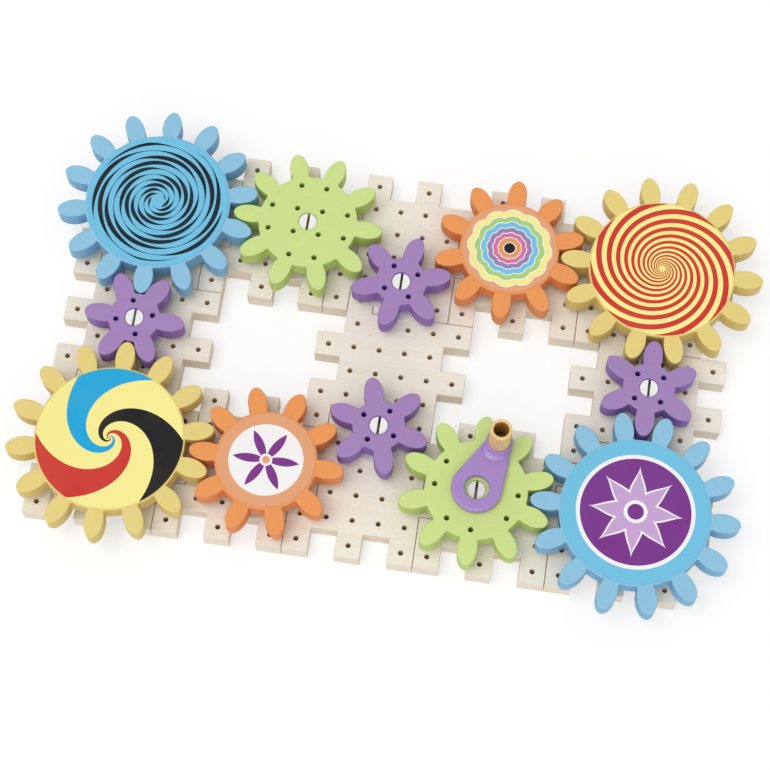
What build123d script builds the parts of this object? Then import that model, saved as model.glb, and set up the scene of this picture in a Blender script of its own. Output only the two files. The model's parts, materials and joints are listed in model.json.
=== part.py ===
from build123d import *
from math import atan2, cos, degrees, pi, radians, sin
import os

# A wooden crank gear toy: thirteen interlocking peg boards lie as a frame round two windows, twelve axle
# bases plug into their peg holes, and twelve petal-toothed gears run on the bases in one closed ring.
# A crank with a turning knob plugs into one gear and drives the rest.
# Origin: middle of the boards' underside. +X along the long side, +Y to the back, +Z up. Millimetres.

# --- Peg grid and boards ---------------------------------------------------------------------------------
PEG_PITCH = 15.0  # from one peg hole to the next; every board tab is one pitch wide
BOARD_THICKNESS = 12.0
SEAM_GAP = 0.3  # clearance between two neighbouring boards
PEG_HOLE_RADIUS = 1.5
PEG_SIDES = 6  # sides that the many small holes and pins are drawn with, to keep their faces few
BOARD_CELLS = 5  # pitches from one board's middle to the next board's middle
BODY_CELLS = 4  # the square body of a board, without its tabs
COLUMNS = (-2, -1, 0, 1, 2)
ROWS = {"back": 1, "middle": 0, "front": -1}
WINDOW_COLUMNS = (-1, 1)  # the middle row has no board here
TABS_BEHIND = (-3, 1)  # middles of the tabs along each side of a board, in half pitches from its own middle
TABS_IN_FRONT = (-5, -1, 3)
TABS_RIGHT = (3, -1)
TABS_LEFT = (1, -3)

# --- Gears -----------------------------------------------------------------------------------------------
MODULE = PEG_PITCH / 2  # pitch diameter over teeth, so that gears mesh at whole numbers of pitches
GEAR_THICKNESS = 12.0
GEAR_LIFT = 6.75  # from the boards' top to the gears' underside
ADDENDUM = 0.92 * MODULE  # from the pitch circle out to a tooth's tip
PETAL_HALF_LENGTH = 10.0  # of the ellipse that a tooth is cut to
PETAL_SIDES = 12  # sides that the ellipse is drawn with, one corner at the tooth's tip
FLANK_CLEARANCE = 0.58  # how much narrower a tooth is than half a tooth pitch
TOOTH_COUNT = {"large": 14, "medium": 10, "small": 6}
TIP_CLEARANCE = {"large": 2.6, "medium": 1.4, "small": 0.6}  # root circle to the mating tooth's tip
PATTERN_CELLS = {"large": (), "medium": ((1, 1), (3, 1), (1, 3)), "small": ((1, 1),)}  # in half pitches

# --- Printed discs on six of the gears -------------------------------------------------------------------
DISC_THICKNESS = 0.4
DISC_MARGIN = {"large": 1.0, "medium": 1.2, "small": 1.0}  # bare wood left inside the root circle

# --- Axle bases ------------------------------------------------------------------------------------------
FLANGE_RADIUS = 18.0
FLANGE_THICKNESS = 1.6
FLANGE_SIDES = 16  # sides that the flange and the shoulder are drawn with
SHOULDER_RADIUS = 8.0
AXIAL_GAP = 0.3  # between a gear's underside and the shoulder it runs on
POST_RADIUS = 5.3
RUNNING_CLEARANCE = 0.08  # post to gear bore, on the radius
POST_SINK = 0.4  # how far the post's end lies below the gear's top
SLOT_WIDTH = 1.4
PIN_LENGTH = 8.0
PIN_CLEARANCE = 0.1  # pin to peg hole, on the radius

# --- Crank -----------------------------------------------------------------------------------------------
CRANK_THROW = 28.5  # gear axis to knob axis
ARM_THICKNESS = 5.0
ARM_HUB_RADIUS = 14.4
ARM_TIP_RADIUS = 7.4
ARM_EDGE_ROUND = 1.2
WINDOW_RADIUS = 7.2  # round window over the slotted post
BOSS_RADIUS = 7.0
BOSS_HEIGHT = 4.8
KNOB_RADIUS = 6.2
KNOB_HEIGHT = 20.0
KNOB_BORE_RADIUS = 4.4
KNOB_FLOOR = 4.0
KNOB_GAP = 0.3  # under the knob and over its floor
SCREW_RADIUS = 1.9
SCREW_HEAD_RADIUS = 3.6
SCREW_HEAD_HEIGHT = 2.2
SCREW_GRIP = 8.0  # length of the screw in the boss and arm
SCREW_CLEARANCE = 0.05  # screw to its hole in the boss, on the radius
CRANK_REST = -18.75  # degrees, where the first tooth of the crank's gear points at rest

# --- Levels that several pieces share --------------------------------------------------------------------
GEAR_BOTTOM = BOARD_THICKNESS + GEAR_LIFT
GEAR_TOP = GEAR_BOTTOM + GEAR_THICKNESS
ARM_TOP = GEAR_TOP + ARM_THICKNESS
BOSS_TOP = ARM_TOP + BOSS_HEIGHT
KNOB_BOTTOM = BOSS_TOP + KNOB_GAP
HALF_PEG_SQUARE = PEG_PITCH / 2
BORE_RADIUS = POST_RADIUS + RUNNING_CLEARANCE
PIN_RADIUS = PEG_HOLE_RADIUS - PIN_CLEARANCE
PETAL_HALF_WIDTH = (pi * MODULE / 2 - FLANK_CLEARANCE) / 2

# The ring of gears in the order in which they mesh, from the crank's gear round by the right. Each has its
# name, its size, its axle's place in pitches from the middle, and how many teeth it is turned on by, which
# settles how its own peg holes lie.
RING = (
    ("green_crank", "medium", (4, -5), 0),
    ("blue_front_right", "large", (10, -5), 0),
    ("purple_right", "small", (10, 0), 1),
    ("yellow_back_right", "large", (10, 5), 0),
    ("orange_back", "medium", (4, 5), 0),
    ("purple_back", "small", (0, 3), 2),
    ("green_back", "medium", (-4, 5), 9),
    ("blue_back_left", "large", (-10, 5), 0),
    ("purple_left", "small", (-10, 0), 1),
    ("yellow_front_left", "large", (-10, -5), 0),
    ("orange_front", "medium", (-4, -5), 0),
    ("purple_front", "small", (0, -3), 1),
)
PRINTED = ("blue_front_right", "yellow_back_right", "orange_back", "blue_back_left", "yellow_front_left",
           "orange_front")
SLACK_PAIR = {"medium", "small"}  # these mesh loosest, so they take up the ring's closing error


def axle_at(cell):
    """The axle's place in millimetres from its place in pitches."""
    return (cell[0] * PEG_PITCH, cell[1] * PEG_PITCH)


def pitch_radius(size):
    """Radius at which two gears roll on each other."""
    return MODULE * TOOTH_COUNT[size] / 2


def tip_radius(size):
    """Outer radius over the teeth."""
    return pitch_radius(size) + ADDENDUM


def root_radius(size):
    """Radius of the round blank between the teeth."""
    return pitch_radius(size) - ADDENDUM - TIP_CLEARANCE[size]


def meshed_angle(size, angle, cell, next_size, next_cell, slack):
    """Angle of the next gear's first tooth, so that its tooth stands in this gear's gap."""
    line = degrees(atan2(next_cell[1] - cell[1], next_cell[0] - cell[0]))
    turned = TOOTH_COUNT[size] * (line - angle) + TOOTH_COUNT[next_size] * (line + 180) - 180 - slack
    return turned / TOOTH_COUNT[next_size]


def ring_angles(slack):
    """Rest angle of each gear round the ring, and how far the last misses the first, in tooth phase."""
    angles = [CRANK_REST]
    for place, (_, size, cell, _) in enumerate(RING):
        _, next_size, next_cell, _ = RING[(place + 1) % len(RING)]
        loose = slack * (-1) ** place if {size, next_size} == SLACK_PAIR else 0
        angles.append(meshed_angle(size, angles[-1], cell, next_size, next_cell, loose))
    miss = (TOOTH_COUNT[RING[0][1]] * (angles.pop() - CRANK_REST) + 180) % 360 - 180
    return angles, miss


# The ring closes only if its four loosest meshes each stand a little off centre in their gaps.
LOOSE_MESHES = sum({RING[i - 1][1], RING[i][1]} == SLACK_PAIR for i in range(len(RING)))
CLOSING_SLACK = -ring_angles(0)[1] / LOOSE_MESHES
GEAR_ANGLES = ring_angles(CLOSING_SLACK)[0]


# Each base plugs into the square of four peg holes round its axle. Only these holes, and the square of four
# round the middle of the middle board, are drilled here, out of the one in every cell of a real board.
PLUGGED_HOLES = [(axle_at(cell)[0] + side_x * HALF_PEG_SQUARE, axle_at(cell)[1] + side_y * HALF_PEG_SQUARE)
                 for _, _, cell, _ in RING for side_x in (-1, 1) for side_y in (-1, 1)]


def write(part, name):
    """Names a finished piece and writes it."""
    part.label = name
    export_step(part, f"parts/{name}.step")


# --- Boards ----------------------------------------------------------------------------------------------
def tab_places():
    """Middles of a board's nine tabs from its own middle: two behind, three in front, two each side."""
    edge = BOARD_CELLS * PEG_PITCH / 2
    behind = [(u * HALF_PEG_SQUARE, edge) for u in TABS_BEHIND]
    in_front = [(u * HALF_PEG_SQUARE, -edge) for u in TABS_IN_FRONT]
    right = [(edge, v * HALF_PEG_SQUARE) for v in TABS_RIGHT]
    left = [(-edge, v * HALF_PEG_SQUARE) for v in TABS_LEFT]
    return behind + in_front + right + left


def peg_board(x, y, round_square):
    """One interlocking board about (x, y), drilled where the axle bases plug in or round its middle."""
    tab_end = (BODY_CELLS / 2 + 1) * PEG_PITCH
    plugged = [(a - x, b - y) for a, b in PLUGGED_HOLES if max(abs(a - x), abs(b - y)) < tab_end]
    with BuildPart() as board:
        with BuildSketch(Plane.XY.move(Location((x, y, 0)))):
            Rectangle(BODY_CELLS * PEG_PITCH, BODY_CELLS * PEG_PITCH)
            with Locations(tab_places()):
                Rectangle(PEG_PITCH, PEG_PITCH)
            offset(amount=-SEAM_GAP / 2, kind=Kind.INTERSECTION)
            if plugged:
                with Locations(plugged):
                    RegularPolygon(PEG_HOLE_RADIUS, PEG_SIDES, major_radius=False, mode=Mode.SUBTRACT)
            if round_square:
                with GridLocations(PEG_PITCH, PEG_PITCH, 2, 2):
                    Circle(PEG_HOLE_RADIUS, mode=Mode.SUBTRACT)
        extrude(amount=BOARD_THICKNESS)
    return board.part


# --- Axle bases ------------------------------------------------------------------------------------------
def axle_base(x, y):
    """A moulded foot: four pins, a thin flange, a shoulder and a post split so that it springs in the bore."""
    place = Location((x, y, 0))
    shoulder_top = GEAR_BOTTOM - AXIAL_GAP
    post_top = GEAR_TOP - POST_SINK
    with BuildPart() as base:
        with BuildSketch(Plane.XY.offset(BOARD_THICKNESS).move(place)):
            RegularPolygon(FLANGE_RADIUS, FLANGE_SIDES)
        extrude(amount=FLANGE_THICKNESS)
        with BuildSketch(Plane.XY.offset(BOARD_THICKNESS).move(place)):
            RegularPolygon(SHOULDER_RADIUS, FLANGE_SIDES)
        extrude(amount=shoulder_top - BOARD_THICKNESS)
        with BuildSketch(Plane.XY.offset(shoulder_top).move(place)):
            Circle(POST_RADIUS)
            Rectangle(SLOT_WIDTH, 2 * POST_RADIUS, mode=Mode.SUBTRACT)
        extrude(amount=post_top - shoulder_top)
        with BuildSketch(Plane.XY.offset(BOARD_THICKNESS).move(place)):
            with GridLocations(PEG_PITCH, PEG_PITCH, 2, 2):
                RegularPolygon(PIN_RADIUS, PEG_SIDES)
        extrude(amount=-PIN_LENGTH)
    return base.part


# --- Gears -----------------------------------------------------------------------------------------------
def petal():
    """The ellipse of a tooth, lying along X about its own middle."""
    turns = [2 * pi * side / PETAL_SIDES for side in range(PETAL_SIDES)]
    corners = [(PETAL_HALF_LENGTH * cos(turn), PETAL_HALF_WIDTH * sin(turn)) for turn in turns]
    with BuildSketch(mode=Mode.PRIVATE) as outline:
        Polygon(*corners, align=None)
    return outline.sketch


def pattern_places(size):
    """Peg holes of a gear in its own frame, square about its axle, each named by one hole in a corner."""
    places = set()
    for u, v in PATTERN_CELLS[size]:
        for sign_u in (-1, 1):
            for sign_v in (-1, 1):
                places.add((sign_u * u * HALF_PEG_SQUARE, sign_v * v * HALF_PEG_SQUARE))
    return sorted(places)


def petal_gear(size, x, y, angle, drilled):
    """A flat wooden gear with oval teeth round a round blank, bored for its post."""
    own_plane = Plane.XY.offset(GEAR_BOTTOM).move(Location((x, y, 0))).rotated((0, 0, angle))
    with BuildPart() as gear:
        with BuildSketch(own_plane):
            Circle(root_radius(size))
            with PolarLocations(tip_radius(size) - PETAL_HALF_LENGTH, TOOTH_COUNT[size]):
                add(petal())
            Circle(BORE_RADIUS, mode=Mode.SUBTRACT)
            if drilled:
                with Locations(pattern_places(size)):
                    RegularPolygon(PEG_HOLE_RADIUS, PEG_SIDES, major_radius=False, mode=Mode.SUBTRACT)
        extrude(amount=GEAR_THICKNESS)
    return gear.part


def printed_disc(size, x, y):
    """The thin printed disc on a gear's face, just inside its root circle."""
    with BuildPart() as disc:
        with BuildSketch(Plane.XY.offset(GEAR_TOP).move(Location((x, y, 0)))):
            Circle(root_radius(size) - DISC_MARGIN[size])
        extrude(amount=DISC_THICKNESS)
    return disc.part


# --- Crank -----------------------------------------------------------------------------------------------
def crank_arm(x, y, angle):
    """The teardrop arm: four pins for the gear's peg holes, a window over the post and the knob's boss."""
    own_plane = Plane.XY.offset(GEAR_TOP).move(Location((x, y, 0))).rotated((0, 0, angle))
    with BuildPart() as arm:
        with BuildSketch(own_plane):
            Circle(ARM_HUB_RADIUS)
            with Locations((CRANK_THROW, 0)):
                Circle(ARM_TIP_RADIUS)
            make_hull()
        extrude(amount=ARM_THICKNESS)
        chamfer(arm.faces().sort_by(Axis.Z)[-1].edges(), ARM_EDGE_ROUND)
        with BuildSketch(own_plane.offset(ARM_THICKNESS)):
            with Locations((CRANK_THROW, 0)):
                Circle(BOSS_RADIUS)
        extrude(amount=BOSS_HEIGHT)
        with BuildSketch(own_plane):
            Circle(WINDOW_RADIUS)
        extrude(amount=ARM_THICKNESS, mode=Mode.SUBTRACT)
        with BuildSketch(own_plane):
            with GridLocations(PEG_PITCH, PEG_PITCH, 2, 2):
                RegularPolygon(PIN_RADIUS, PEG_SIDES)
        extrude(amount=-PIN_LENGTH)
        with BuildSketch(own_plane.offset(ARM_THICKNESS + BOSS_HEIGHT)):
            with Locations((CRANK_THROW, 0)):
                Circle(SCREW_RADIUS + SCREW_CLEARANCE)
        extrude(amount=-SCREW_GRIP, mode=Mode.SUBTRACT)
    return arm.part


def crank_knob(x, y):
    """The wooden sleeve that turns on its screw, bored from the top down to its floor."""
    with BuildPart() as knob:
        with BuildSketch(Plane.XY.offset(KNOB_BOTTOM).move(Location((x, y, 0)))):
            Circle(KNOB_RADIUS)
            Circle(SCREW_RADIUS + RUNNING_CLEARANCE, mode=Mode.SUBTRACT)
        extrude(amount=KNOB_HEIGHT)
        with BuildSketch(Plane.XY.offset(KNOB_BOTTOM + KNOB_FLOOR).move(Location((x, y, 0)))):
            Circle(KNOB_BORE_RADIUS)
        extrude(amount=KNOB_HEIGHT - KNOB_FLOOR, mode=Mode.SUBTRACT)
    return knob.part


def knob_screw(x, y):
    """The screw down the knob's middle, its head over the knob's floor and its shank in the boss."""
    head_bottom = KNOB_BOTTOM + KNOB_FLOOR + KNOB_GAP
    with BuildPart() as screw:
        with BuildSketch(Plane.XY.offset(BOSS_TOP - SCREW_GRIP).move(Location((x, y, 0)))):
            Circle(SCREW_RADIUS)
        extrude(amount=head_bottom - BOSS_TOP + SCREW_GRIP)
        with BuildSketch(Plane.XY.offset(head_bottom).move(Location((x, y, 0)))):
            Circle(SCREW_HEAD_RADIUS)
        extrude(amount=SCREW_HEAD_HEIGHT)
    return screw.part


# --- The whole toy ---------------------------------------------------------------------------------------
os.makedirs("parts", exist_ok=True)

for row_name, row in ROWS.items():
    for column in COLUMNS:
        if row == 0 and column in WINDOW_COLUMNS:
            continue
        board_x, board_y = column * BOARD_CELLS * PEG_PITCH, row * BOARD_CELLS * PEG_PITCH
        number = COLUMNS.index(column) + 1
        write(peg_board(board_x, board_y, row == column == 0), f"peg_board_{row_name}_{number}")

for (gear_name, gear_size, gear_cell, turned_on), first_tooth in zip(RING, GEAR_ANGLES):
    gear_x, gear_y = axle_at(gear_cell)
    pattern_angle = first_tooth + turned_on * 360 / TOOTH_COUNT[gear_size]
    write(axle_base(gear_x, gear_y), f"axle_base_{gear_name}")
    write(petal_gear(gear_size, gear_x, gear_y, pattern_angle, gear_name not in PRINTED), f"gear_{gear_name}")
    if gear_name in PRINTED:
        write(printed_disc(gear_size, gear_x, gear_y), f"disc_{gear_name}")

crank_x, crank_y = axle_at(RING[0][2])
arm_angle = GEAR_ANGLES[0] + 90
knob_x = crank_x + CRANK_THROW * cos(radians(arm_angle))
knob_y = crank_y + CRANK_THROW * sin(radians(arm_angle))
write(crank_arm(crank_x, crank_y, arm_angle), "crank_arm")
write(crank_knob(knob_x, knob_y), "crank_knob")
write(knob_screw(knob_x, knob_y), "knob_screw")
print("gear angles at rest", [round(angle, 2) for angle in GEAR_ANGLES])
print("slack in each loose mesh, in degrees of tooth phase", round(CLOSING_SLACK, 2))
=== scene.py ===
"""Looks of the wooden crank gear toy: peg boards, axle bases, petal-toothed gears, discs, crank."""
import json
import logging
from dataclasses import dataclass
from enum import Enum
from math import acos, atan2, cos, hypot, pi, radians, sin, sqrt, tau

import bmesh
import bpy
from bmesh.types import BMesh
from mathutils import Matrix, Vector


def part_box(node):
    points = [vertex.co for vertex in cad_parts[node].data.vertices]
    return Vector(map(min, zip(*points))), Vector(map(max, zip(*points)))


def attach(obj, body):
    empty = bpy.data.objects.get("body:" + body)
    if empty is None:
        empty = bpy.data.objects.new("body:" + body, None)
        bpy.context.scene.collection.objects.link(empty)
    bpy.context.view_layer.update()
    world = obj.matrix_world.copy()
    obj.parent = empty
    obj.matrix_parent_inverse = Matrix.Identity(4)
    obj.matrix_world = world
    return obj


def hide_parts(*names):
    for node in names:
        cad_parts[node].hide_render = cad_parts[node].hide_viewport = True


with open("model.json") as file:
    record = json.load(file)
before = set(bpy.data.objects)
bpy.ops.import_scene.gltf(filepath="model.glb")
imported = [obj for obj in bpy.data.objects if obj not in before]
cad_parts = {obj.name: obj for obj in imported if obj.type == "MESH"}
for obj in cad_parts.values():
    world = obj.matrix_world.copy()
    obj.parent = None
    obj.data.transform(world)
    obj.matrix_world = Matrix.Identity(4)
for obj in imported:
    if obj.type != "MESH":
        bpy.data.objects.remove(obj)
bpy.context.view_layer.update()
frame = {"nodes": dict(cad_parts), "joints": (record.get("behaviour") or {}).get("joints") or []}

LOG = logging.getLogger("crank_gear_toy")
Node = bpy.types.Node
NodeTree = bpy.types.NodeTree
Socket = bpy.types.NodeSocket
Material = bpy.types.Material
Face = bmesh.types.BMFace
Edge = bmesh.types.BMEdge
Value = Socket | float
Colour = tuple[float, float, float, float]
Profile = list[tuple[float, float, float]]

MM = 0.001
TINY = 1e-6                  # points closer than this are one point
SAME_ANGLE = 1e-4            # angles closer than this are one angle
SHARP_ANGLE = radians(40)    # edges sharper than this keep their crease
FLAT_ANGLE = radians(2)      # faces closer than this lie in one plane
ROUND_STEPS = 4              # straight steps in a rounding
PEG_STEPS = 16
PEG_END_ROUND = 0.6 * MM
ORIGIN = Vector((0, 0, 0))
UNTURNED, FULL_SIZE = 0.0, (1.0, 1.0, 1.0)
OUTER, BORED = 0, 1          # material numbers of a piece's own faces and of its bored walls
# a display's colour curve: a straight start, then a power
CURVE_START, CURVE_SLOPE, CURVE_OFFSET, CURVE_POWER = 0.04045, 12.92, 0.055, 2.4
MIX_BELOW, MIX_ABOVE, MIX_RESULT = 6, 7, 2           # colour sockets of a Mix node
NATURAL_BASE = 2.718
WHOLE_TURNS = 100.0          # added before a FRACT, so that it never works on a negative number


def tone(red: int, green: int, blue: int) -> Colour:
    """Linear colour of a display colour.

    Args:
        red: Red of the display colour, from 0 to 255.
        green: Its green.
        blue: Its blue.

    Returns:
        The linear colour with an alpha of 1.
    """
    linear = []
    for share in (value / 255 for value in (red, green, blue)):
        curved = ((share + CURVE_OFFSET) / (1 + CURVE_OFFSET)) ** CURVE_POWER
        linear.append(share / CURVE_SLOPE if share <= CURVE_START else curved)
    return (*linear, 1.0)


def deeper(colour: Colour, share: float) -> Colour:
    """A colour multiplied towards its own hue by a share: a darker, more saturated tone of it, used
    for random tone and for painted shade.
    """
    top = max(colour[:3])
    return (*[value * (1 - share) * (value / top) ** share for value in colour[:3]], 1.0)


# --- Mesh helpers ---
def softened(corners: Profile, steps: int = ROUND_STEPS) -> list[Vector]:
    """Rounds the corners of a profile.

    Args:
        corners: Each corner's reach from the axis, its level and its rounding, in metres.
        steps: Straight steps in each rounding.

    Returns:
        The rounded profile as two-dimensional points.
    """
    made = []
    for place, (reach, level, rounding) in enumerate(corners):
        here = Vector((reach, level))
        if not rounding:
            made.append(here)
            continue
        before = Vector(corners[place - 1][:2]) - here
        after = Vector(corners[(place + 1) % len(corners)][:2]) - here
        start = here + before.normalized() * rounding
        end = here + after.normalized() * rounding
        for step in range(steps + 1):
            share = step / steps
            made.append(start.lerp(here, share).lerp(here.lerp(end, share), share))
    return made


def lathe(mesh: BMesh, centre: Vector, profile: list[Vector], steps: int,
          closed: bool = False) -> list[Face]:
    """Turns a profile about an upright axis.

    Args:
        mesh: Mesh that the turned surface is added to.
        centre: A point on the axis.
        profile: Reach and level of each point.
        steps: Steps in the full turn.
        closed: Whether the profile's last point joins its first.

    Returns:
        The new faces.
    """
    known = set(mesh.faces)
    corners = [mesh.verts.new((centre.x + point.x, centre.y, point.y)) for point in profile]
    pairs = list(zip(corners, corners[1:]))
    if closed:
        pairs.append((corners[-1], corners[0]))
    chain = [mesh.edges.new(pair) for pair in pairs]
    bmesh.ops.spin(mesh, geom=corners + chain, cent=(centre.x, centre.y, 0), axis=(0, 0, 1),
                   angle=tau, steps=steps, use_merge=True)
    return [face for face in mesh.faces if face not in known]


def join(into: BMesh, other: BMesh) -> None:
    """Adds one mesh to another.

    Args:
        into: Mesh that grows.
        other: Mesh that is added, and freed.
    """
    passing = bpy.data.meshes.new("passing")
    other.to_mesh(passing)
    other.free()
    into.from_mesh(passing)
    bpy.data.meshes.remove(passing)


def lies_at(item: Face | Edge, level: float) -> bool:
    """Whether a face or an edge lies flat at a level."""
    return all(abs(corner.co.z - level) < TINY for corner in item.verts)


def four_corners(across: float, along: float) -> list[Vector]:
    """Corners of a rectangle about the origin, from half its sides."""
    return [Vector((u * across, v * along, 0)) for u in (-1, 1) for v in (-1, 1)]


def add_pegs(mesh: BMesh, square: float, radius: float, low: float, high: float) -> None:
    """Adds four round-ended pegs at the corners of a square about the origin.

    Args:
        mesh: Mesh that the pegs are added to.
        square: Side of the square.
        radius: Radius of a peg.
        low: Level of the pegs' ends.
        high: Level of their roots.
    """
    peg = softened([(0, low, 0), (radius, low, PEG_END_ROUND), (radius, high, 0)])
    for corner in four_corners(square / 2, square / 2):
        lathe(mesh, corner, peg, PEG_STEPS)


@dataclass(frozen=True)
class Hole:
    """A round hole right through a plate, with a softened rim."""

    place: Vector
    radius: float
    rim: float
    steps: int
    rim_steps: int


def raise_plate(mesh: BMesh, low: float, high: float, rim: float, corners: bool = False) -> None:
    """Raises the one flat face of a mesh to a plate with rounded edges.

    Args:
        mesh: Mesh that holds only the outline's face, at level 0.
        low: Level of the plate's underside.
        high: Level of its top.
        rim: Rounding of its upper and lower edges.
        corners: Whether the upright corners are rounded too.
    """
    grown = bmesh.ops.extrude_face_region(mesh, geom=list(mesh.faces))
    lifted = [item for item in grown["geom"] if isinstance(item, bmesh.types.BMVert)]
    bmesh.ops.translate(mesh, vec=(0, 0, high - low), verts=lifted)
    bmesh.ops.translate(mesh, vec=(0, 0, low), verts=mesh.verts)
    bmesh.ops.recalc_face_normals(mesh, faces=mesh.faces)
    chosen = [edge for edge in mesh.edges if corners or lies_at(edge, edge.verts[0].co.z)]
    bmesh.ops.bevel(mesh, geom=chosen, offset=rim, offset_type="OFFSET", segments=ROUND_STEPS,
                    profile=0.5, affect="EDGES", material=-1, clamp_overlap=True)


def drill_plate(mesh: BMesh, low: float, high: float, holes: list[Hole]) -> None:
    """Opens round holes in a raised plate and marks their walls as the second material.

    Args:
        mesh: Mesh of the raised plate, whose two caps are single faces.
        low: Level of the lower cap.
        high: Level of the upper cap.
        holes: The holes.
    """
    caps = [face for face in mesh.faces if lies_at(face, low) or lies_at(face, high)]
    bmesh.ops.delete(mesh, geom=caps, context="FACES_ONLY")
    for hole in holes:
        outside = hole.radius + hole.rim
        wall = softened([(outside, high, 0), (hole.radius, high, hole.rim),
                         (hole.radius, low, hole.rim), (outside, low, 0)], hole.rim_steps)
        for face in lathe(mesh, hole.place, wall, hole.steps):
            face.material_index = BORED
    bmesh.ops.remove_doubles(mesh, verts=mesh.verts, dist=TINY)
    for level in (low, high):
        border = [edge for edge in mesh.edges
                  if len(edge.link_faces) == 1 and lies_at(edge, level)]
        bmesh.ops.triangle_fill(mesh, edges=border, use_beauty=True, use_dissolve=False,
                                normal=(0, 0, 1))


def seat(mesh: BMesh, place: Vector, turn: float = UNTURNED) -> None:
    """Turns a mesh about the upright axis through the origin, then moves it to its place."""
    matrix = Matrix.Translation((place.x, place.y, 0)) @ Matrix.Rotation(turn, 4, "Z")
    bmesh.ops.transform(mesh, matrix=matrix, verts=mesh.verts)


def finished_piece(mesh: BMesh, node: str, body: str, finishes: list[Material]) -> None:
    """Makes a piece that rides on its body and stands for its node of the frame.

    Args:
        mesh: The finished mesh, in place, which is freed.
        node: Node that the piece stands for.
        body: Body that it rides on.
        finishes: Materials in the order of the faces' material numbers.
    """
    bmesh.ops.remove_doubles(mesh, verts=mesh.verts, dist=TINY)
    bmesh.ops.recalc_face_normals(mesh, faces=mesh.faces)
    for edge in mesh.edges:
        edge.smooth = len(edge.link_faces) != 2 or edge.calc_face_angle() < SHARP_ANGLE
    for face in mesh.faces:
        face.smooth = True
    data = bpy.data.meshes.new(node + "_finished")
    mesh.to_mesh(data)
    mesh.free()
    for finish in finishes:
        data.materials.append(finish)
    piece = bpy.data.objects.new(node + "_finished", data)
    bpy.context.scene.collection.objects.link(piece)
    even = piece.modifiers.new("even_faces", "WEIGHTED_NORMAL")
    even.keep_sharp = True
    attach(piece, body)
    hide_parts(node)
    LOG.info("%s: %d faces on %s", piece.name, len(data.polygons), body)


def axle_place(name: str) -> Vector:
    """Where the axle of a named gear, or the knob's, stands in the frame."""
    places = {joint["name"]: joint["pos_m"] for joint in frame["joints"]}
    return Vector(places[name + "_spin"])


def top_of(node: str) -> float:
    """Level of the top of a node of the frame."""
    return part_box(node)[1].z


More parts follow.
